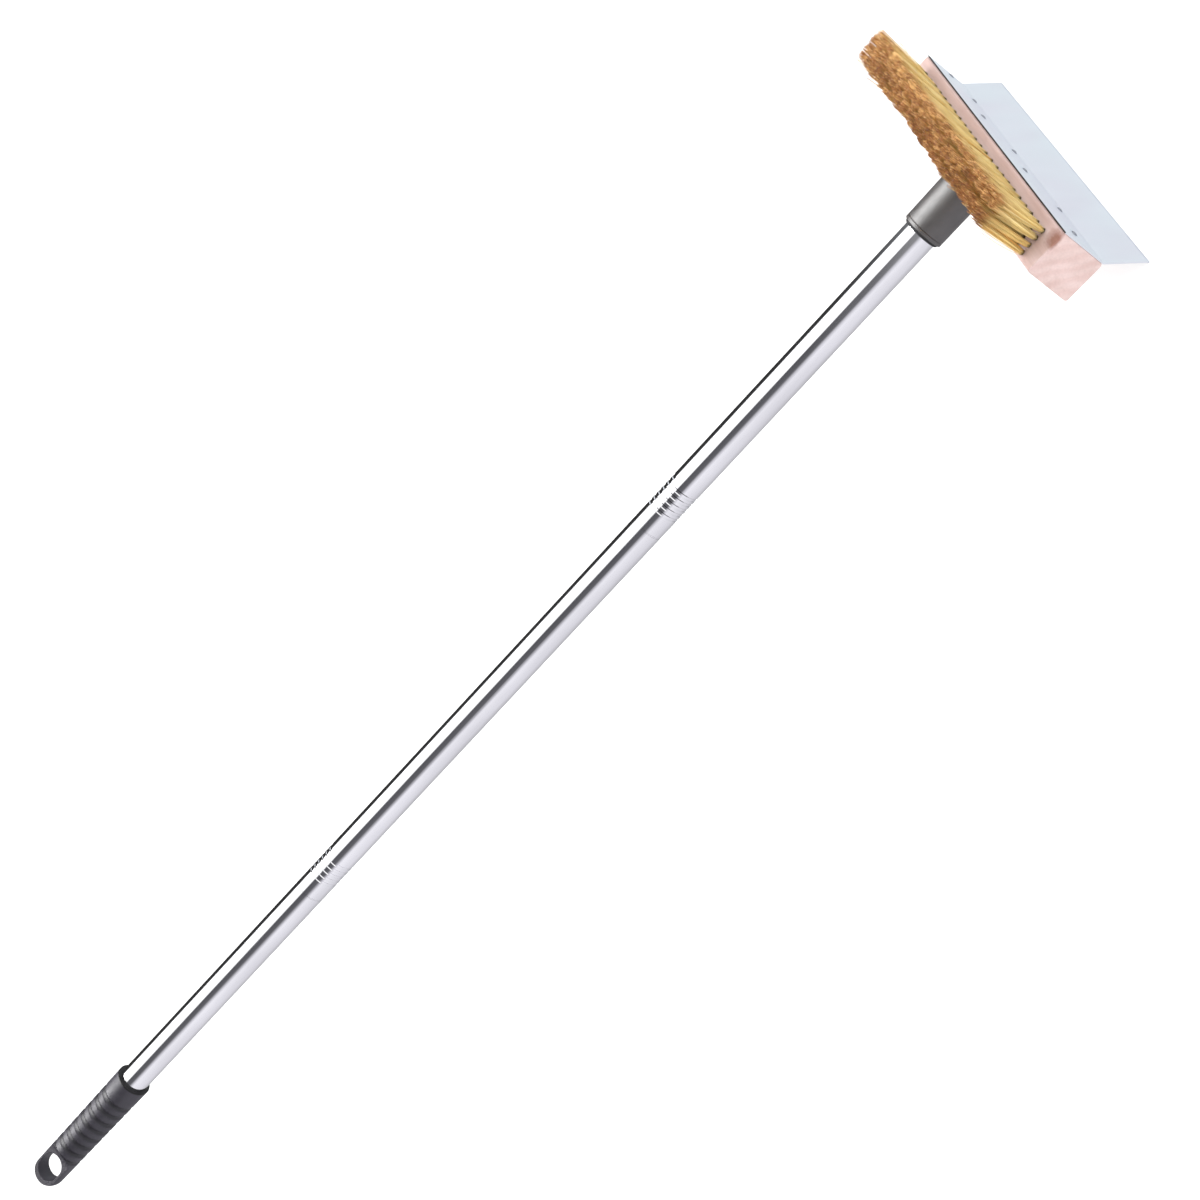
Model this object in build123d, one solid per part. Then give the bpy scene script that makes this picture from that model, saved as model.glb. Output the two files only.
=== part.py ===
from build123d import *
import os
from math import cos, radians, sin, sqrt

# Oven and grill brush with a scraper blade, on a pole of three tubes that screw together.
# Modelled lying on its back: +X runs along the pole to the head, +Z is the way the bristles point.
# While modelling, X is measured from the end of the grip and the pole's axis is Y = Z = 0.
# Everything is shifted at the end, so that the origin is the centre of the box's bottom face.

os.makedirs("parts", exist_ok=True)

# Pole: millimetres throughout
tube_r = 12.0                 # 24 mm tube
tube_wall = 0.6
bore_r = tube_r - tube_wall
tube_start_x = 52.0           # lower end of the lowest tube, inside the grip
seam_1_x = 391.8              # upper end of the lower tube
seam_2_x = 799.5              # upper end of the middle tube
seam_3_x = 1086.0             # upper end of the upper tube, inside the ferrule

# Rolled thread: a right-handed groove pressed into the tube, which stands proud inside
thread_pitch = 5.0
thread_turns = 5.6
thread_offset = 14.8          # from the seam to the first groove
groove_r = 11.3              # bottom of the groove outside
groove_floor, groove_mouth = 0.7, 4.0
female_crest_r = 10.75        # top of the same ridge inside
ridge_crest, ridge_foot = 1.4, 2.6

# Plugs: pressed into a tube's upper end, with a threaded nose that the next piece screws onto
male_root_r = 10.4
male_crest_r = 11.05
male_foot, male_crest = 2.0, 1.0
pilot_r = 11.1                # plain part of a plug, inside the next tube
plug_depth = 38.0             # how deep a plug sits in its own tube
plug_r = bore_r - 0.05
plug_core_r = 7.0
plug_end = 3.0                # thickness of the nose's closed end
nose_length, nose_turns = 47.0, 6.3
ferrule_nose_length, ferrule_nose_turns = 26.5, 4.3
ferrule_turns = 3.4
ferrule_thread_offset = 5.5

# Thin rings between the tube ends
ring_thickness = 0.8
ring_gap = 0.1
ring_bore_r = 11.2
ring_r = tube_r - 0.05
mouth_ring_thickness = 1.7

# Grip
grip_length = 142.0
grip_mouth_r = 14.9
grip_end_r = 13.6
grip_bore_r = tube_r + 0.05
grip_floor_x = tube_start_x - 0.2
grip_roll = 42.0              # the hang hole leans from +Z towards -Y
ribs = 8
rib_first, rib_last = 42.0, 119.0
rib_half, rib_deep = 2.8, 0.8
loop_half = 6.8               # half the thickness of the end with the hang hole
loop_flat_x, loop_ramp_x = 34.0, 45.0
hole_x = 20.4
hole_length, hole_width = 27.0, 20.6
hole_edge = 0.4

# Head
ferrule_mouth_x = 1080.7
ferrule_r = 15.1
block_x = 1123.7              # back face of the wooden block, where the ferrule stands
block_depth = 30.8
block_length = 280.0
block_top = 11.4
block_bottom = -24.6
block_round, block_bevel = 2.2, 0.5
ferrule_floor = 5.0           # thickness of the ferrule's closed end
ferrule_bore_r = tube_r + 0.3
screw_r, screw_length = 2.2, 28.0
screw_head_r, screw_head = 4.2, 2.6
washer_r, washer_thickness = 6.0, 1.0
peg_r, peg_length = 1.5, 5.0
peg_y, peg_z = 8.0, -8.0

# Bristles
rows = 4
tufts = 23
row_first = 4.4               # first row's distance from the block's back face
row_pitch = 5.8
field_half = 122.0            # half the length of the tuft field
tuft_r = 1.6
tuft_tip_r = 2.4
tuft_hole_r = 1.7
tuft_depth = 8.4
tip_top = 57.0
row_fan = 0.85                # width of the field at its tips, across and along, against its roots
end_fan = 1.04
row_lean = -1.2               # the tips stand a little nearer the handle than the roots
staple_r = 0.45
staple_z = block_top - tuft_depth + 1.3

# Scraper blade
sheet = 0.8
bend_r = 1.5
bend_angle = 37.6
free_length = 28.4
flange_top = 10.9
bend_start = block_bottom + 1.0
nail_ys = (-119.0, -73.0, -28.0, 15.0, 58.0, 100.0, 130.0)    # hand spaced
nail_high, nail_low = -8.0, -18.5
nail_r, nail_length = 0.9, 15.0
nail_head_r, nail_head = 2.0, 0.9

block_front = block_x + block_depth
bend_centre_x = block_front + sheet + bend_r
edge_front = bend_centre_x - bend_r * cos(radians(bend_angle)) + free_length * sin(radians(bend_angle))
edge_low = bend_start - (bend_r + sheet) * sin(radians(bend_angle)) - free_length * cos(radians(bend_angle))


def lathe(*points):
    """Solid of revolution about the pole's axis, from its outline as (x, radius) points."""
    outline = make_face(Polyline(*points, close=True))
    return revolve(outline, Axis.X, 360)


def rod(x0, x1, radius, y=0.0, z=0.0):
    """Cylinder along +X."""
    return Pos(x0, y, z) * Rot(0, 90, 0) * Cylinder(
        radius, x1 - x0, align=(Align.CENTER, Align.CENTER, Align.MIN))


def helical(start_x, turns, inner_r, inner_width, outer_r, outer_width):
    """Right-handed helical bar along +X, with a trapezoid section between two radii."""
    helix = Helix(pitch=thread_pitch, height=turns * thread_pitch, radius=inner_r)
    section_plane = Plane(origin=helix @ 0, x_dir=(1, 0, 0), z_dir=helix % 0)
    depth = outer_r - inner_r
    section = make_face(Polyline((0, -inner_width / 2), (depth, -outer_width / 2),
                                 (depth, outer_width / 2), (0, inner_width / 2), close=True))
    bar = sweep(section_plane * section, path=helix, is_frenet=True)
    return Pos(start_x, 0, 0) * Rot(0, 90, 0) * bar


def plain_tube(x0, x1):
    return lathe((x0, bore_r), (x0, tube_r), (x1, tube_r), (x1, bore_r))


def threaded_tube(x0, x1):
    """Tube whose lower end has the rolled thread that the next plug screws into."""
    start = x0 + thread_offset - ring_thickness
    groove = helical(start, thread_turns, groove_r, groove_floor, tube_r + 0.3, groove_mouth)
    ridge = helical(start, thread_turns, female_crest_r, ridge_crest, bore_r + 0.2, ridge_foot)
    return plain_tube(x0, x1) - groove + ridge


def thread_plug(seam_x, nose, thread_x, turns):
    """Moulded plug pressed into the upper end of a tube, with a screw thread that stands out of it."""
    inner_x, thread_x, nose_x = seam_x - plug_depth, seam_x + thread_x, seam_x + nose
    body = lathe((inner_x, plug_core_r), (inner_x, plug_r - 0.8), (inner_x + 1.5, plug_r),
                 (seam_x, plug_r), (seam_x, pilot_r), (thread_x - 1.4, pilot_r),
                 (thread_x - 0.7, male_root_r), (nose_x - 1.0, male_root_r),
                 (nose_x, male_root_r - 1.0), (nose_x, 0),
                 (nose_x - plug_end, 0), (nose_x - plug_end, plug_core_r))
    return body + helical(thread_x, turns, male_root_r - 0.3, male_foot, male_crest_r, male_crest)


def seam_ring(seam_x):
    x0 = seam_x + ring_gap
    x1 = x0 + ring_thickness
    return lathe((x0, ring_bore_r), (x0, ring_r), (x1, ring_r), (x1, ring_bore_r))


def mouth_ring():
    """Soft dust ring round the pole, at the mouth of the ferrule."""
    x1 = ferrule_mouth_x - ring_gap
    x0 = x1 - mouth_ring_thickness
    outer_r = ferrule_r - 1.5
    return lathe((x0, tube_r + 0.1), (x0, outer_r - 0.5), (x0 + 0.5, outer_r),
                 (x1, outer_r), (x1, tube_r + 0.1))


def grip_radius(x):
    """Radius of the grip's tapered barrel, before its ribs."""
    return grip_end_r + (grip_mouth_r - grip_end_r) * (x - grip_end_r) / (grip_length - grip_end_r)


def grip_outline():
    """Half section of the grip: round end, tapered and ribbed barrel, plain mouth."""
    diagonal = grip_end_r * sqrt(0.5)
    edges = [ThreePointArc((0, 0), (grip_end_r - diagonal, diagonal), (grip_end_r, grip_end_r))]
    x_now = grip_end_r
    for i in range(ribs):
        x = rib_first + (rib_last - rib_first) * i / (ribs - 1)
        start, end = x - rib_half, x + rib_half
        edges.append(Line((x_now, grip_radius(x_now)), (start, grip_radius(start))))
        edges.append(ThreePointArc((start, grip_radius(start)), (x, grip_radius(x) - rib_deep),
                                   (end, grip_radius(end))))
        x_now = end
    edges.append(Polyline((x_now, grip_radius(x_now)), (grip_length - 0.6, grip_mouth_r),
                          (grip_length, grip_mouth_r - 0.5), (grip_length, grip_bore_r),
                          (grip_floor_x, grip_bore_r), (grip_floor_x, 0), (0, 0)))
    return make_face(edges)


def make_grip():
    """Push-on grip, closed at its end, which is a loop: flat on two sides with a long hang hole."""
    body = revolve(grip_outline(), Axis.X, 360)
    clear = grip_mouth_r + 2
    middle = ((loop_flat_x + loop_ramp_x) / 2, loop_half + 1.8)
    side = make_face([
        Line((-2, loop_half), (loop_flat_x, loop_half)),
        ThreePointArc((loop_flat_x, loop_half), middle, (loop_ramp_x, clear)),
        Polyline((loop_ramp_x, clear), (-2, clear), (-2, loop_half))])
    cutter = extrude(Plane.XZ * side, clear, both=True)
    body = body - cutter - mirror(cutter, Plane.XY)
    body -= extrude(Pos(hole_x, 0, 0) * SlotOverall(hole_length, hole_width), clear, both=True)
    rims = [edge for edge in body.edges()
            if abs(abs(edge.center().Z) - loop_half) < 0.01
            and abs(edge.center().Y) < hole_width / 2 + 0.1
            and hole_x - hole_length / 2 - 0.1 < edge.center().X < hole_x + hole_length / 2 + 0.1]
    return Rot(grip_roll, 0, 0) * chamfer(rims, hole_edge)


def make_ferrule():
    """Socket with an internal thread; two pegs keep it from turning on the block."""
    floor_x = block_x - ferrule_floor
    mouth = ferrule_mouth_x
    shell = lathe((mouth, ferrule_bore_r), (mouth, ferrule_r - 0.4), (mouth + 0.4, ferrule_r),
                  (mouth + 2.4, ferrule_r), (mouth + 2.8, ferrule_r - 0.3), (mouth + 3.2, ferrule_r),
                  (block_x, ferrule_r + 0.3), (block_x, screw_r + 0.3), (floor_x, screw_r + 0.3),
                  (floor_x, bore_r), (seam_3_x + 3.0, bore_r), (seam_3_x + 1.5, ferrule_bore_r))
    ridge = helical(seam_3_x + ferrule_thread_offset, ferrule_turns,
                    female_crest_r, ridge_crest, bore_r + 0.4, ridge_foot + 0.2)
    pegs = [rod(block_x - 1, block_x + peg_length, peg_r, y, peg_z) for y in (-peg_y, peg_y)]
    return shell + ridge + pegs


def ferrule_screw():
    """Wood screw with a pan head and a cross recess."""
    seat = block_x - ferrule_floor - washer_thickness - 0.1
    tip = seat + screw_length
    body = lathe((seat - screw_head, 0), (seat - screw_head, screw_head_r - 1.4), (seat - 1.4, screw_head_r),
                 (seat, screw_head_r), (seat, screw_r), (tip - 5.0, screw_r), (tip, 0.2), (tip, 0))
    bar = Pos(seat - 2.0, 0, 0) * Box(1.6, screw_head_r + 0.2, 0.9)
    return body - bar - Rot(90, 0, 0) * bar


def ferrule_washer():
    x1 = block_x - ferrule_floor - 0.05
    x0 = x1 - washer_thickness
    bore = screw_r + 0.2
    return lathe((x0, bore), (x0, washer_r), (x1, washer_r), (x1, bore))


def row_x(row):
    return block_x + row_first + row * row_pitch


def tuft_y(tuft):
    return -field_half + 2 * field_half * tuft / (tufts - 1)


def staple(row, tuft):
    """Short wire across the bottom of a tuft hole, which the tuft is folded round."""
    half = tuft_r - 0.1
    return rod(row_x(row) - half, row_x(row) + half, staple_r, tuft_y(tuft), staple_z)


def tuft_solid(row, tuft):
    """Outer shape of one tuft: round in its hole, then widening to its tips."""
    x, y = row_x(row), tuft_y(tuft)
    middle = row_x((rows - 1) / 2)
    tip = Pos(middle + row_lean + (x - middle) * row_fan, y * end_fan, tip_top) * Circle(tuft_tip_r)
    root = Pos(x, y, block_top - tuft_depth + 0.2) * Cylinder(
        tuft_r, tuft_depth, align=(Align.CENTER, Align.CENTER, Align.MIN))
    fan = loft([Pos(x, y, block_top + 0.2) * Circle(tuft_r), tip])
    eye = rod(x - tuft_r - 1, x + tuft_r + 1, staple_r + 0.05, y, staple_z)
    return root + fan - eye


def nail_places():
    """Zigzag line of nails along the blade's flange, as (y, z)."""
    return [(y, nail_low if i % 2 else nail_high) for i, y in enumerate(nail_ys)]


def make_block():
    """Wooden block, drilled for the tufts, the nails, the ferrule's screw and its pegs."""
    height = block_top - block_bottom
    block = Pos(block_x + block_depth / 2, 0, (block_top + block_bottom) / 2) * Box(
        block_depth, block_length, height)
    block = fillet(block.edges().filter_by(Axis.Y), block_round)
    block = chamfer(block.faces().filter_by(Axis.Y).edges(), block_bevel)
    drills = [Pos(row_x(row), tuft_y(tuft), block_top + 1) * Cylinder(
        tuft_hole_r, tuft_depth + 1, align=(Align.CENTER, Align.CENTER, Align.MAX))
        for row in range(rows) for tuft in range(tufts)]
    drills += [rod(block_front - nail_length - 1, block_front + 1, nail_r + 0.05, y, z)
               for y, z in nail_places()]
    drills += [rod(block_x - 1, block_x + peg_length + 0.4, peg_r + 0.1, y, peg_z) for y in (-peg_y, peg_y)]
    drills.append(rod(block_x - 1, block_x + screw_length - ferrule_floor + 0.5, screw_r + 0.05))
    return block - drills


def make_blade():
    """Sheet steel blade: a flange over the block's front face, then the bent scraping edge."""
    flange_height = flange_top - bend_start
    flange = Pos(block_front, 0, bend_start) * Box(
        sheet, block_length, flange_height, align=(Align.MIN, Align.CENTER, Align.MIN))
    centre = (bend_centre_x, 0, bend_start)
    start_face = Pos(block_front + sheet / 2, 0, bend_start) * Rectangle(sheet, block_length)
    turn_axis = Axis(centre, (0, -1, 0))
    bend = revolve(start_face, turn_axis, bend_angle)
    free = Pos(block_front, 0, bend_start) * Box(
        sheet, block_length, free_length, align=(Align.MIN, Align.CENTER, Align.MAX))
    free = free.rotate(turn_axis, bend_angle)
    blade = flange + bend + free
    return blade - [rod(block_front - 1, block_front + 2, nail_r + 0.05, y, z) for y, z in nail_places()]


def nail(y, z):
    """Round-headed nail through the flange."""
    seat = block_front + sheet + 0.02
    tip = block_front + sheet - nail_length
    body = lathe((tip, 0), (tip + 2.0, nail_r), (seat, nail_r), (seat, nail_head_r),
                 (seat + 0.33, nail_head_r), (seat + nail_head * 0.85, nail_head_r * 0.55),
                 (seat + nail_head, 0))
    return Pos(0, y, z) * body


male_thread_offset = thread_offset - thread_pitch / 2
ferrule_male_offset = ferrule_thread_offset - thread_pitch / 2
parts = {
    "grip": make_grip(),
    "lower_tube": plain_tube(tube_start_x, seam_1_x),
    "middle_tube": threaded_tube(seam_1_x + ring_thickness + 2 * ring_gap, seam_2_x),
    "upper_tube": threaded_tube(seam_2_x + ring_thickness + 2 * ring_gap, seam_3_x),
    "lower_thread_plug": thread_plug(seam_1_x, nose_length, male_thread_offset, nose_turns),
    "middle_thread_plug": thread_plug(seam_2_x, nose_length, male_thread_offset, nose_turns),
    "upper_thread_plug": thread_plug(
        seam_3_x, ferrule_nose_length, ferrule_male_offset, ferrule_nose_turns),
    "lower_seam_ring": seam_ring(seam_1_x),
    "middle_seam_ring": seam_ring(seam_2_x),
    "ferrule_mouth_ring": mouth_ring(),
    "socket_ferrule": make_ferrule(),
    "ferrule_screw": ferrule_screw(),
    "ferrule_washer": ferrule_washer(),
    "head_block": make_block(),
    "scraper_blade": make_blade(),
    "blade_nails": Compound(children=[nail(y, z) for y, z in nail_places()]),
}
for row in range(rows):
    parts[f"bristle_row_{row + 1}"] = Compound(children=[tuft_solid(row, i) for i in range(tufts)])
    parts[f"staple_row_{row + 1}"] = Compound(children=[staple(row, i) for i in range(tufts)])

to_origin = Pos(-edge_front / 2, 0, -edge_low)
for name, shape in parts.items():
    export_step(to_origin * shape, f"parts/{name}.step")
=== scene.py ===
import math

import bpy
import numpy as np
from mathutils import Matrix, Vector


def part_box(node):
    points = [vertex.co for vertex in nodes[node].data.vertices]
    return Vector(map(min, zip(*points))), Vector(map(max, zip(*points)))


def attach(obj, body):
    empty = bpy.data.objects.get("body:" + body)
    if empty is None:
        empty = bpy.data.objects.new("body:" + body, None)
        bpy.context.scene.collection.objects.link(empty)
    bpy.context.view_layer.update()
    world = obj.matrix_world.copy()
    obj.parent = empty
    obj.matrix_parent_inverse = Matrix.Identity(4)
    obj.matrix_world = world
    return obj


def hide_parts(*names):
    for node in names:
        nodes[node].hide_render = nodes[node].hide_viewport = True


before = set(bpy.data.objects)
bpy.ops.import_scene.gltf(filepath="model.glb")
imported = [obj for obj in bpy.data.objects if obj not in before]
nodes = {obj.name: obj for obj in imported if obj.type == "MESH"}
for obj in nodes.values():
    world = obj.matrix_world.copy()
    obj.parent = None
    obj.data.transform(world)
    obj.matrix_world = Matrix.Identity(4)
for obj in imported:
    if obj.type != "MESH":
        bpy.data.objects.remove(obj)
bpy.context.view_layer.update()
MM = 0.001

# Places read from the frame
block_low, block_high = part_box("head_block")
tube_low, tube_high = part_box("middle_tube")
grip_low, grip_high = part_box("grip")
blade_low, blade_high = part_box("scraper_blade")
ROWS = 4
row_boxes = [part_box(f"bristle_row_{i + 1}") for i in range(ROWS)]
AXIS_Z = (tube_low.z + tube_high.z) / 2

# The grip's grooves, from its end, and the nails' places on the blade
RIBS, RIB_FIRST, RIB_PITCH = 8, 42.0 * MM, 11.0 * MM
NAIL_YS = [y * MM for y in (-119, -73, -28, 15, 58, 100, 130)]
NAIL_ZS = (AXIS_Z - 8.0 * MM, AXIS_Z - 18.5 * MM)
SHEET = 0.8 * MM

# Ramps work from 0 to 1, so that a distance in metres is first multiplied by one of these
PER_CM = 100.0
PER_MM = 1000.0


# ---------------------------------------------------------------- camera, light and floor

SENSOR, LENS = 36.0, 62.13            # millimetres
CAMERA_PLACE = (0.69553, -1.19294, 0.75318)
CAMERA_AIM = (-0.36747, 0.79688, -0.47952)
CAMERA_ROLL = 59.4                    # degrees
SOFTBOX, SOFTBOX_CORE = 1.3, 11.0     # brightness of the wide softbox above, and of its middle
STUDIO, AMBIENT = 1.12, 1.12          # what shiny and what matt surfaces get
FLOOR_HALF = 12.0


def make_camera():
    """Looks down along the pole from beyond the head, rolled so that the pole runs corner to corner."""
    data = bpy.data.cameras.new("camera")
    data.sensor_width = SENSOR
    data.lens = LENS
    camera = bpy.data.objects.new("camera", data)
    bpy.context.scene.collection.objects.link(camera)
    turn = Vector(CAMERA_AIM).to_track_quat("-Z", "Y").to_matrix().to_4x4()
    roll = Matrix.Rotation(-math.radians(CAMERA_ROLL), 4, "Z")
    camera.matrix_world = Matrix.Translation(CAMERA_PLACE) @ turn @ roll
    bpy.context.scene.camera = camera


def node(tree, kind, **values):
    made = tree.nodes.new(kind)
    for name, value in values.items():
        if name in made.inputs:
            made.inputs[name].default_value = value
        else:
            setattr(made, name, value)
    return made


def math_node(tree, operation, a, b=None):
    made = node(tree, "ShaderNodeMath", operation=operation)
    for socket, value in zip(made.inputs, (a, b)):
        if value is None:
            continue
        if isinstance(value, (int, float)):
            socket.default_value = value
        else:
            tree.links.new(value, socket)
    return made.outputs[0]


def ramp(tree, factor, stops, interpolation="LINEAR"):
    """Colour ramp; stops are (position, grey or rgb)."""
    made = node(tree, "ShaderNodeValToRGB")
    made.color_ramp.interpolation = interpolation
    elements = made.color_ramp.elements
    while len(elements) < len(stops):
        elements.new(0.5)
    for element, (position, colour) in zip(elements, stops):
        element.position = position
        rgb = (colour,) * 3 if isinstance(colour, (int, float)) else colour
        element.color = (*rgb, 1.0)
    tree.links.new(factor, made.inputs[0])
    return made.outputs[0]


def coordinates(tree, kind="Object"):
    return node(tree, "ShaderNodeTexCoord").outputs[kind]


def split(tree, vector):
    parts = node(tree, "ShaderNodeSeparateXYZ")
    tree.links.new(vector, parts.inputs[0])
    return parts.outputs


def mix_colours(tree, factor, a, b, blend="MIX"):
    """a towards b. The factor and b can each be a value or a socket."""
    mix = node(tree, "ShaderNodeMix", data_type="RGBA", blend_type=blend)
    tree.links.new(a, mix.inputs[6])
    for socket, value in ((mix.inputs["Factor"], factor), (mix.inputs[7], b)):
        if isinstance(value, (int, float, tuple)):
            socket.default_value = value
        else:
            tree.links.new(value, socket)
    return mix.outputs[2]


def multiply(tree, a, b, strength=1.0):
    return mix_colours(tree, strength, a, b, "MULTIPLY")


def smooth_step(tree, value, start, end):
    step = node(tree, "ShaderNodeMapRange", interpolation_type="SMOOTHSTEP")
    step.inputs["From Min"].default_value = start
    step.inputs["From Max"].default_value = end
    tree.links.new(value, step.inputs["Value"])
    return step.outputs[0]


def background(tree, strength, colour=None):
    made = node(tree, "ShaderNodeBackground", Strength=strength)
    if colour is None:
        made.inputs["Color"].default_value = (1, 1, 1, 1)
    else:
        tree.links.new(colour, made.inputs["Color"])
    return made.outputs[0]


def mix_shaders(tree, factor, a, b):
    made = node(tree, "ShaderNodeMixShader")
    for socket, value in zip(made.inputs, (factor, a, b)):
        tree.links.new(value, socket)
    return made.outputs[0]


def around(degrees):
    """Place on a ramp of a direction round the pole, where 0 is +Y and 90 is straight up."""
    return ((degrees + 180.0) % 360.0) / 360.0


def make_world():
    """White for the camera; for reflections a studio of strips that run along the pole."""
    world = bpy.data.worlds.new("studio")
    bpy.context.scene.world = world
    world.use_nodes = True
    tree = world.node_tree
    tree.nodes.clear()
    direction = coordinates(tree, "Generated")
    x, y, z = split(tree, direction)
    angle = math_node(tree, "ARCTAN2", z, y)
    turn = math_node(tree, "ADD", math_node(tree, "DIVIDE", angle, 2 * math.pi), 0.5)
    wander = node(tree, "ShaderNodeTexNoise", Scale=3.2, Detail=1.0)
    tree.links.new(direction, wander.inputs["Vector"])
    shift = math_node(tree, "MULTIPLY", math_node(tree, "SUBTRACT", wander.outputs[0], 0.5), 0.035)
    wavy = math_node(tree, "ADD", turn, shift)

    strips = ramp(tree, wavy, [
        (around(-180), (0.88, 0.87, 0.92)), (around(-110), (0.72, 0.71, 0.76)),
        (around(-60), (0.46, 0.46, 0.48)), (around(-36), (0.25, 0.25, 0.26)),
        (around(-28), 0.03), (around(40), 0.03),
        (around(46), SOFTBOX), (around(54), SOFTBOX), (around(58), SOFTBOX_CORE),
        (around(97), SOFTBOX_CORE), (around(102), SOFTBOX), (around(115), SOFTBOX),
        (around(122), (0.08, 0.08, 0.09)), (around(153), (0.12, 0.12, 0.13)),
        (around(168), (0.66, 0.65, 0.70)), (0.9999, (0.88, 0.87, 0.92))])
    toward_grip = mix_colours(tree, smooth_step(tree, x, -0.79, -0.86), strips, (0.01, 0.01, 0.012, 1))

    plain = ramp(tree, wavy, [
        (around(-180), (0.84, 0.84, 0.88)), (around(-110), (0.66, 0.66, 0.70)),
        (around(-78), (0.30, 0.30, 0.32)), (around(-62), (0.74, 0.77, 0.81)),
        (around(0), (0.75, 0.78, 0.82)), (around(38), (0.84, 0.87, 0.90)),
        (around(48), 0.05), (around(60), 0.05), (around(68), 0.92), (around(120), 1.0),
        (around(128), (0.08, 0.08, 0.09)), (around(150), (0.12, 0.12, 0.13)),
        (around(166), (0.66, 0.65, 0.70)), (0.9999, (0.84, 0.84, 0.88))])
    gap = ramp(tree, turn, [(around(112), 0.0), (around(122), 1.0), (around(158), 1.0), (around(166), 0.0)])
    gap_end = ramp(tree, x, [(0.70, 1.0), (0.78, 0.0)])
    toward_head = mix_colours(tree, math_node(tree, "MULTIPLY", gap, gap_end), plain, (1.1, 1.1, 1.1, 1))

    reflected = mix_colours(tree, smooth_step(tree, x, -0.2, 0.02), toward_grip, toward_head)
    studio = background(tree, STUDIO, reflected)
    soft = background(tree, AMBIENT, ramp(tree, z, [(0.0, 0.45), (0.5, 0.8), (1.0, 1.0)]))
    path = node(tree, "ShaderNodeLightPath")
    lit = mix_shaders(tree, path.outputs["Is Glossy Ray"], soft, studio)
    seen = mix_shaders(tree, path.outputs["Is Camera Ray"], lit, background(tree, 1.0))
    tree.links.new(seen, node(tree, "ShaderNodeOutputWorld").inputs[0])


def make_floor():
    """Wide white floor with only a faint shadow. Polished steel sees the studio below it instead."""
    mesh = bpy.data.meshes.new("floor")
    corners = [(FLOOR_HALF * x, FLOOR_HALF * y, 0) for x, y in ((-1, -1), (1, -1), (1, 1), (-1, 1))]
    mesh.from_pydata(corners, [], [(0, 1, 2, 3)])
    floor = bpy.data.objects.new("floor", mesh)
    bpy.context.scene.collection.objects.link(floor)
    floor.visible_glossy = False
    material = bpy.data.materials.new("floor")
    material.use_nodes = True
    shader = material.node_tree.nodes["Principled BSDF"]
    shader.inputs["Base Color"].default_value = (0.5, 0.5, 0.5, 1)
    shader.inputs["Roughness"].default_value = 0.9
    shader.inputs["Specular IOR Level"].default_value = 0.0
    shader.inputs["Emission Color"].default_value = (1, 1, 1, 1)
    shader.inputs["Emission Strength"].default_value = 0.72
    mesh.materials.append(material)


def area_light(name, place, aim, size, power):
    data = bpy.data.lights.new(name, "AREA")
    data.shape = "DISK"
    data.size = size
    data.energy = power
    light = bpy.data.objects.new(name, data)
    bpy.context.scene.collection.objects.link(light)
    light.location = place
    light.rotation_euler = (Vector(aim) - Vector(place)).to_track_quat("-Z", "Y").to_euler()
    light.visible_glossy = False
    light.visible_camera = False


# ---------------------------------------------------------------- materials

def new_material(name):
    material = bpy.data.materials.new(name)
    material.use_nodes = True
    tree = material.node_tree
    return material, tree, tree.nodes["Principled BSDF"]


def place_texture(tree, scale):
    """Object coordinates, which are the part's frame in metres, stretched by scale."""
    mapping = node(tree, "ShaderNodeMapping", Scale=scale)
    tree.links.new(coordinates(tree), mapping.inputs["Vector"])
    return mapping.outputs[0]


def noise(tree, scale, detail):
    made = node(tree, "ShaderNodeTexNoise", Scale=1.0, Detail=detail)
    tree.links.new(place_texture(tree, scale), made.inputs["Vector"])
    return made.outputs[0]


def add_bump(tree, shader, height, strength, distance):
    bump = node(tree, "ShaderNodeBump", Strength=strength, Distance=distance)
    tree.links.new(height, bump.inputs["Height"])
    tree.links.new(bump.outputs[0], shader.inputs["Normal"])


def steel_material(name, colour, polish, streak, streak_strength, dents=0.0):
    """Stainless steel. streak is the texture's scale: low along the brushing, high across it."""
    material, tree, shader = new_material(name)
    shader.inputs["Metallic"].default_value = 1.0
    dark = tuple(0.9 * c for c in colour)
    tint = ramp(tree, noise(tree, (14, 60, 60), 4), [(0.3, dark), (0.7, colour)])
    tree.links.new(tint, shader.inputs["Base Color"])
    rough = ramp(tree, noise(tree, (25, 90, 90), 5), [(0.3, polish), (0.75, polish * 1.7)])
    tree.links.new(rough, shader.inputs["Roughness"])
    height = math_node(tree, "ADD", noise(tree, streak, 2),
                       math_node(tree, "MULTIPLY", noise(tree, (9, 70, 70), 1), dents))
    add_bump(tree, shader, height, streak_strength, 0.00004)
    return material


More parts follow.
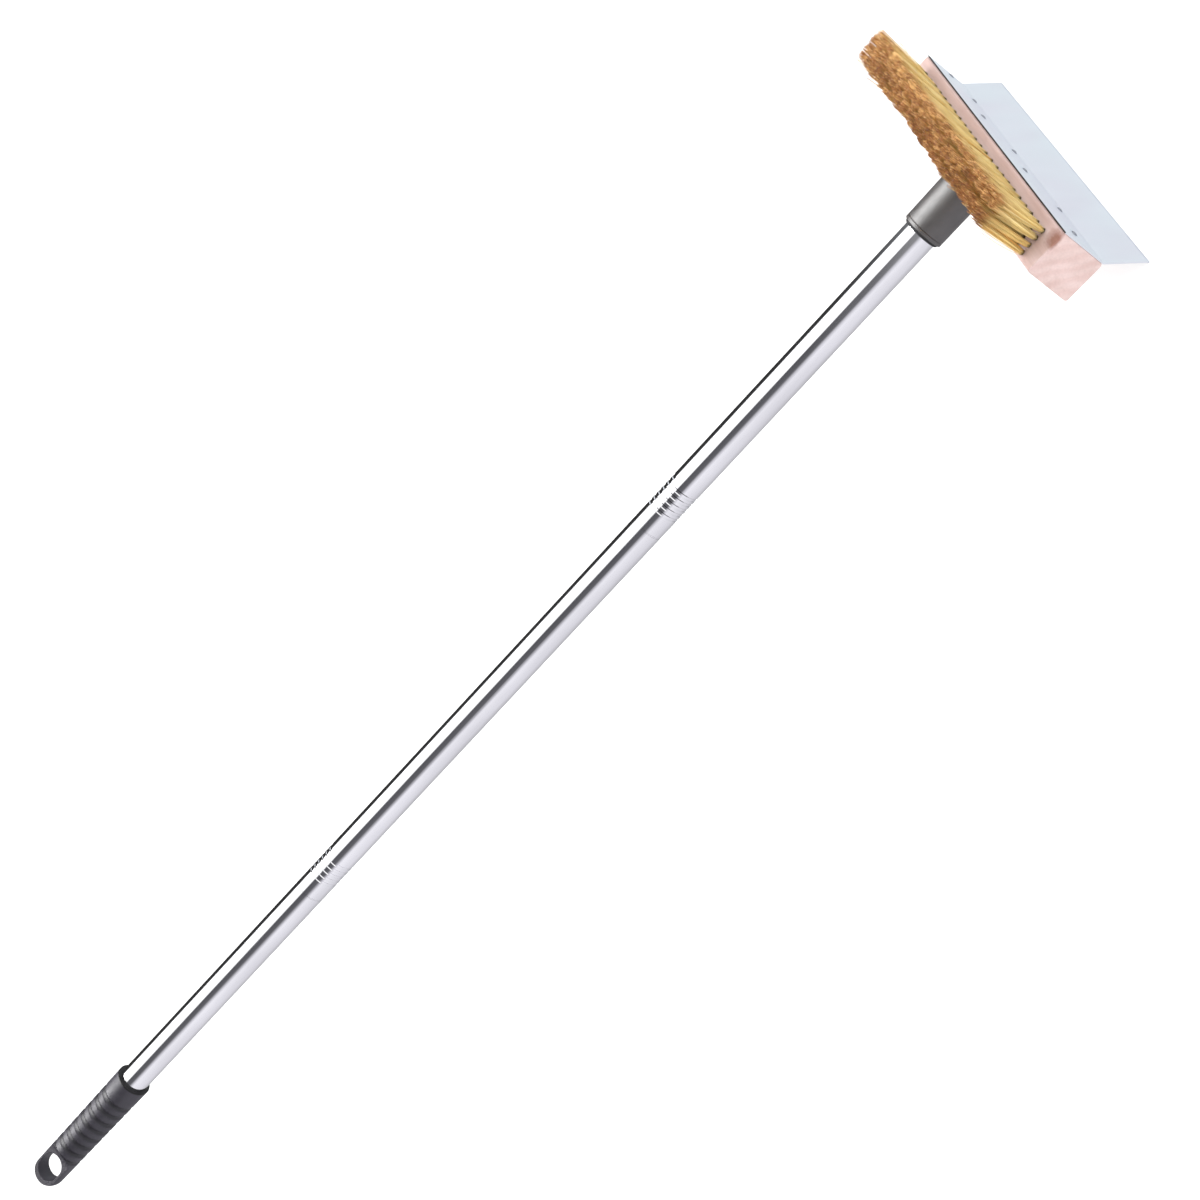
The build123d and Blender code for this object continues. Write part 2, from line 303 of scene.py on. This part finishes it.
def blade_material():
    """Rolled sheet: faint rolling lines, cloudy patches, dents round the nails with painted shade round
    their heads, a worn scraping edge, and a painted shadow line along its top edge.
    """
    material, tree, shader = new_material("rolled_sheet")
    shader.inputs["Metallic"].default_value = 1.0
    place = coordinates(tree)
    cloud = ramp(tree, noise(tree, (14, 14, 14), 2), [
        (0.35, (0.86, 0.86, 0.91)), (0.65, (0.86, 0.91, 0.94))])
    near = None
    for i, y in enumerate(NAIL_YS):
        distance = node(tree, "ShaderNodeVectorMath", operation="DISTANCE")
        tree.links.new(place, distance.inputs[0])
        distance.inputs[1].default_value = (block_high.x + SHEET, y, NAIL_ZS[i % 2])
        away = distance.outputs["Value"]
        near = away if near is None else math_node(tree, "MINIMUM", near, away)
    near = math_node(tree, "MULTIPLY", near, PER_CM)
    # painted shade: the sheet is darkened in a ring round each nail head
    nail_shade = ramp(tree, near, [(0.19, (0.2, 0.22, 0.26)), (0.26, (0.8, 0.83, 0.88)), (0.42, 1.0)])
    z = split(tree, place)[2]
    up = math_node(tree, "MULTIPLY", math_node(tree, "SUBTRACT", z, blade_low.z), PER_CM)
    ragged = math_node(tree, "MULTIPLY", noise(tree, (40, 90, 40), 4), 0.12)
    edge = ramp(tree, math_node(tree, "ADD", up, ragged), [(0.1, (0.72, 0.74, 0.78)), (0.2, 1.0)])
    # painted shadow: a dark line along the sheet's top edge, for the shadow in the gap between the sheet and
    # the wood
    down = math_node(tree, "MULTIPLY", math_node(tree, "SUBTRACT", blade_high.z, z), PER_MM)
    cut = ramp(tree, down, [(0.18, (0.05, 0.045, 0.045)), (0.5, 1.0)])
    colour = multiply(tree, multiply(tree, multiply(tree, cloud, nail_shade), edge), cut)
    tree.links.new(colour, shader.inputs["Base Color"])
    rough = ramp(tree, noise(tree, (30, 60, 30), 5), [(0.3, 0.28), (0.7, 0.42)])
    tree.links.new(rough, shader.inputs["Roughness"])
    dent = ramp(tree, near, [(0.0, 0.0), (0.3, 0.25), (0.75, 1.0)], "EASE")
    lines = math_node(tree, "MULTIPLY", noise(tree, (1500, 9, 1500), 2), 0.05)
    add_bump(tree, shader, math_node(tree, "ADD", dent, lines), 0.8, 0.0006)
    return material


def grip_painted_shade(tree, x):
    """Painted shade: darkens the grip's grooves and the inside of its open end."""
    place = math_node(tree, "DIVIDE", math_node(tree, "SUBTRACT", x, grip_low.x + RIB_FIRST), RIB_PITCH)
    place = math_node(tree, "MAXIMUM", math_node(tree, "MINIMUM", place, RIBS - 0.5), -0.5)
    away = math_node(tree, "ABSOLUTE", math_node(tree, "SUBTRACT", place, math_node(tree, "ROUND", place)))
    # painted shade in the grooves between the ribs
    grooves = ramp(tree, away, [(0.1, 0.4), (0.32, 1.0)])
    inwards = math_node(tree, "MULTIPLY", math_node(tree, "SUBTRACT", grip_high.x, x), PER_CM)
    # painted shade inside the open end
    mouth = ramp(tree, inwards, [(0.1, 0.05), (0.16, 1.0)])
    return multiply(tree, grooves, mouth)


def plastic_material(name, low, high, rough, grain=1400.0, bump=0.25, specular=0.5, ior=1.5, shade=None):
    """Moulded plastic: faint mottling and a fine spark-eroded grain. shade gives its darker places, by X, as
    painted shade.
    """
    material, tree, shader = new_material(name)
    tint = ramp(tree, noise(tree, (50, 90, 90), 5), [(0.3, low), (0.7, high)])
    if shade is not None:
        tint = multiply(tree, tint, shade(tree, split(tree, coordinates(tree))[0]))
    tree.links.new(tint, shader.inputs["Base Color"])
    sheen = ramp(tree, noise(tree, (120, 120, 120), 4), [(0.3, rough), (0.7, min(1.0, rough + 0.12))])
    tree.links.new(sheen, shader.inputs["Roughness"])
    shader.inputs["Specular IOR Level"].default_value = specular
    shader.inputs["IOR"].default_value = ior
    add_bump(tree, shader, noise(tree, (grain,) * 3, 2), bump, 0.00008)
    return material


def wood_material():
    """Pale pinkish close-grained wood, its grain along Y, with a small brown patch at one corner."""
    material, tree, shader = new_material("pale_wood")
    place = coordinates(tree)
    mapping = node(tree, "ShaderNodeMapping", Scale=(1.0, 0.05, 1.0), Rotation=(0.0, 0.9, 0.0))
    tree.links.new(place, mapping.inputs["Vector"])
    rings = node(tree, "ShaderNodeTexWave", wave_type="BANDS", bands_direction="X",
                 Scale=42.0, Distortion=3.0, Detail=3.0)
    rings.inputs["Detail Scale"].default_value = 1.2
    tree.links.new(mapping.outputs[0], rings.inputs["Vector"])
    growth = ramp(tree, rings.outputs[1], [(0.1, (0.70, 0.52, 0.495)), (0.9, (0.74, 0.575, 0.552))])
    fibre = ramp(tree, noise(tree, (700, 16, 700), 3), [(0.35, 0.86), (0.62, 1.0)])
    mottle = ramp(tree, noise(tree, (90, 22, 90), 3), [(0.3, (0.86, 0.82, 0.80)), (0.62, 1.0)])

    # a small brown patch at the top edge of the block's low-Y end, darkest at its middle
    brown_patch_place = (block_high.x - 7.0 * MM, block_low.y, block_high.z)
    brown_patch_shape = (0.6, 0.35, 1.6)
    stretched = node(tree, "ShaderNodeVectorMath", operation="MULTIPLY")
    stretched.inputs[1].default_value = brown_patch_shape
    tree.links.new(place, stretched.inputs[0])
    brown_patch = node(tree, "ShaderNodeVectorMath", operation="DISTANCE")
    brown_patch.inputs[1].default_value = [a * b for a, b in zip(brown_patch_shape, brown_patch_place)]
    tree.links.new(stretched.outputs[0], brown_patch.inputs[0])
    reach = math_node(tree, "ADD", math_node(tree, "MULTIPLY", brown_patch.outputs["Value"], PER_CM),
                      math_node(tree, "MULTIPLY", noise(tree, (500, 200, 500), 3), 0.25))
    brown = ramp(tree, reach, [(0.3, (0.50, 0.33, 0.27)), (0.62, 1.0)])

    colour = growth
    for layer, strength in ((fibre, 0.45), (mottle, 0.8), (brown, 1.0)):
        colour = multiply(tree, colour, layer, strength)
    tree.links.new(colour, shader.inputs["Base Color"])
    rough = ramp(tree, noise(tree, (200, 20, 200), 2), [(0.3, 0.58), (0.7, 0.72)])
    tree.links.new(rough, shader.inputs["Roughness"])
    shader.inputs["Specular IOR Level"].default_value = 0.3
    add_bump(tree, shader, noise(tree, (900, 25, 900), 3), 0.35, 0.0001)
    return material


def wire_material():
    """Brass wire: golden shanks, with painted shade making them browner and darker towards the tips and dark
    at the roots, each wire a little different.
    """
    material, tree, shader = new_material("brass_wire")
    tone = node(tree, "ShaderNodeAttribute", attribute_name="wire_tone").outputs["Fac"]
    along = node(tree, "ShaderNodeAttribute", attribute_name="wire_along").outputs["Fac"]
    shank = ramp(tree, tone, [
        (0.0, (0.92, 0.52, 0.14)), (0.4, (1.0, 0.76, 0.29)), (1.0, (1.0, 0.82, 0.40))])
    # painted shade: towards the tips the wires turn darker and browner, for the shade between the wires seen
    # from above
    tip = ramp(tree, tone, [
        (0.0, (0.12, 0.036, 0.007)), (0.6, (0.42, 0.155, 0.038)), (1.0, (1.0, 0.66, 0.27))])
    blend = ramp(tree, along, [(0.5, 0.0), (0.85, 0.28), (0.99, 1.0)])
    # painted shade: the wires are darkened near their roots, where they leave the holes
    root = ramp(tree, along, [(0.03, 0.12), (0.1, 1.0)])
    colour = multiply(tree, mix_colours(tree, blend, shank, tip), root)
    tree.links.new(colour, shader.inputs["Base Color"])
    rough = ramp(tree, noise(tree, (300, 300, 300), 2), [(0.3, 0.3), (0.7, 0.45)])
    tree.links.new(rough, shader.inputs["Roughness"])
    return material


# ---------------------------------------------------------------- bristles

TUFTS = 23
STRANDS = 124                             # wires in a tuft
CLUMPS = 17                               # bundles that a tuft's wires keep to
FIELD_HALF = 122.0 * MM                   # half the length of the tuft field
ROW_FIRST, ROW_PITCH = 4.4 * MM, 5.8 * MM
HOLE_R, HOLE_DEPTH = 1.45 * MM, 1.2 * MM
WIRE_R = 0.16 * MM
TUFT_R = 2.4 * MM
TIP_RX, TIP_RY = 2.3 * MM, 5.8 * MM       # spread of a tuft's tips across and along the row
ROW_CUT = (0.3, 0.0, 0.0, 0.3)            # how much shorter each row is, in millimetres
ROW_PAINTED_LIGHT = (-0.06, -0.02, 0.1, 0.2)       # painted light: the rows near the blade are lighter
PARTING = (0.3, -2.0, 2.0, -0.3)          # the rows part at the near end, in millimetres
END_REACH = 2.5                           # tufts over which either end's wear fades out
WORN_OUT = 2.5 * MM                       # how far the far end's tufts are pushed outwards
STRAY, WORN_STRAY = 0.045, 0.12           # share of stray wires, and the worn end's extra share
STRAY_REACH = (1.5, 2.7)
EDGE = 1.0 * MM                           # tips stay this far inside the block's ends
SPREAD = 0.72                             # below 1, wires fan out near their holes
KINK = 0.012
SECTIONS = (0.0, 0.1, 0.3, 0.6, 0.85, 1.0)
SIDES = 3


def strand_points(rng, root, tip, reach):
    """Centre line of one wire: it leaves its hole steeply, then straightens, with a slight kink."""
    side = rng.uniform(-1, 1, 2)
    bow = reach * rng.normal(0.0, KINK)
    points = []
    for t in SECTIONS:
        spread = t ** SPREAD
        bend = bow * math.sin(math.pi * t)
        points.append((root[0] + (tip[0] - root[0]) * spread + side[0] * bend,
                       root[1] + (tip[1] - root[1]) * spread + side[1] * bend,
                       root[2] + (tip[2] - root[2]) * t))
    return points


def tuft_strands(rng, row, tuft):
    """Root, tip and tone of each wire of one tuft. It fans out in clumps; a few wires stray further."""
    low, high = row_boxes[row]
    share = 2 * tuft / (TUFTS - 1) - 1
    root_x = block_low.x + ROW_FIRST + ROW_PITCH * row
    parting = PARTING[row] * MM * math.exp(-tuft / END_REACH)
    worn = math.exp((tuft - TUFTS + 1) / END_REACH)
    tip_x = (low.x + high.x) / 2 + parting + rng.normal(0, 0.5 * MM)
    tip_y = share * (high.y - TUFT_R) + WORN_OUT * worn + rng.normal(0, 0.6 * MM)
    clumps = [(math.sqrt(rng.uniform(0, 1)), rng.uniform(0, 2 * math.pi),
               rng.normal(0, 0.16), rng.normal(0, 0.5)) for _ in range(CLUMPS)]
    for _ in range(STRANDS):
        radius, phase, tone, short = clumps[rng.integers(CLUMPS)]
        a = radius * math.cos(phase) + rng.normal(0, 0.2)
        b = radius * math.sin(phase) + rng.normal(0, 0.2)
        stray = rng.uniform(*STRAY_REACH) if rng.uniform() < STRAY + WORN_STRAY * worn else 1.0
        cut = MM * (abs(rng.normal(short, 1.0)) + 1.4 * (a * a + b * b) + (stray - 1) * 3 + ROW_CUT[row])
        spread = HOLE_R / max(1.0, math.hypot(a, b))
        root = (root_x + a * spread, share * FIELD_HALF + b * spread, block_high.z - HOLE_DEPTH)
        y = tip_y + b * TIP_RY * stray + rng.normal(0, 0.7 * MM)
        tip = (tip_x + a * TIP_RX * stray * (1 + worn) + rng.normal(0, 0.5 * MM),
               max(block_low.y + EDGE, min(block_high.y - EDGE, y)), high.z - cut)
        yield root, tip, tone


def make_wires(row, material):
    """All the wires of one row, as one mesh of thin three-sided rods."""
    rng = np.random.default_rng(400 + row)
    reach = row_boxes[row][1].z - block_high.z
    vertices, faces, tones = [], [], []
    for tuft in range(TUFTS):
        tuft_tone = rng.normal(0.5, 0.07)
        for root, tip, tone in tuft_strands(rng, row, tuft):
            start = len(vertices)
            tone = min(1.0, max(0.0, rng.normal(tuft_tone + tone + ROW_PAINTED_LIGHT[row], 0.17)))
            twist = rng.uniform(0, 2 * math.pi)
            for x, y, z in strand_points(rng, root, tip, reach):
                for corner in range(SIDES):
                    turn = twist + 2 * math.pi * corner / SIDES
                    vertices.append((x + WIRE_R * math.cos(turn), y + WIRE_R * math.sin(turn), z))
                    tones.append(tone)
            for ring in range(len(SECTIONS) - 1):
                for corner in range(SIDES):
                    p = start + ring * SIDES + corner
                    q = start + ring * SIDES + (corner + 1) % SIDES
                    faces.append((p, q, q + SIDES, p + SIDES))
            top = start + (len(SECTIONS) - 1) * SIDES
            faces.append(tuple(top + corner for corner in range(SIDES)))
    mesh = bpy.data.meshes.new(f"wires_row_{row + 1}")
    mesh.from_pydata(vertices, [], faces)
    alongs = [t for t in SECTIONS for _ in range(SIDES)] * (TUFTS * STRANDS)
    mesh.attributes.new("wire_tone", "FLOAT", "POINT").data.foreach_set("value", tones)
    mesh.attributes.new("wire_along", "FLOAT", "POINT").data.foreach_set("value", alongs)
    mesh.shade_smooth()
    mesh.materials.append(material)
    wires = bpy.data.objects.new(f"wires_row_{row + 1}", mesh)
    bpy.context.scene.collection.objects.link(wires)
    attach(wires, "head")
    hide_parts(f"bristle_row_{row + 1}")


def assign(material, *names):
    for name in names:
        slots = nodes[name].data.materials
        slots.clear()
        slots.append(material)


# ---------------------------------------------------------------- making

bpy.context.scene.view_settings.view_transform = "Standard"
make_camera()
make_world()
make_floor()
area_light("key", (0.2, 0.7, 1.8), (0.2, 0.0, 0.0), 1.6, 26.0)
area_light("fill", (0.9, -2.2, 0.5), (0.5, 0.0, 0.0), 1.2, 10.0)

polished = steel_material("polished_tube", (0.88, 0.88, 0.90), 0.07, (6, 1500, 1500), 0.12, dents=2.0)
assign(polished, "lower_tube", "middle_tube", "upper_tube", "lower_seam_ring", "middle_seam_ring")
assign(blade_material(), "scraper_blade")
zinc = steel_material("zinc_plate", (0.42, 0.43, 0.47), 0.22, (900, 900, 900), 0.2)
assign(zinc, "blade_nails", "ferrule_screw", "ferrule_washer", *[f"staple_row_{i + 1}" for i in range(ROWS)])
assign(plastic_material("grip_plastic", (0.025, 0.023, 0.031), (0.038, 0.035, 0.046), 0.42,
                        specular=0.42, shade=grip_painted_shade), "grip")
assign(plastic_material("ferrule_plastic", (0.020, 0.016, 0.015), (0.030, 0.025, 0.024), 0.42,
                        bump=0.1, specular=1.0, ior=1.66), "socket_ferrule")
black = plastic_material("plug_plastic", (0.03, 0.03, 0.034), (0.045, 0.045, 0.05), 0.4)
assign(black, "lower_thread_plug", "middle_thread_plug", "upper_thread_plug")
rubber = plastic_material("ring_rubber", (0.012, 0.012, 0.014), (0.022, 0.022, 0.024), 0.7)
assign(rubber, "ferrule_mouth_ring")
assign(wood_material(), "head_block")
brass = wire_material()
for row in range(ROWS):
    make_wires(row, brass)
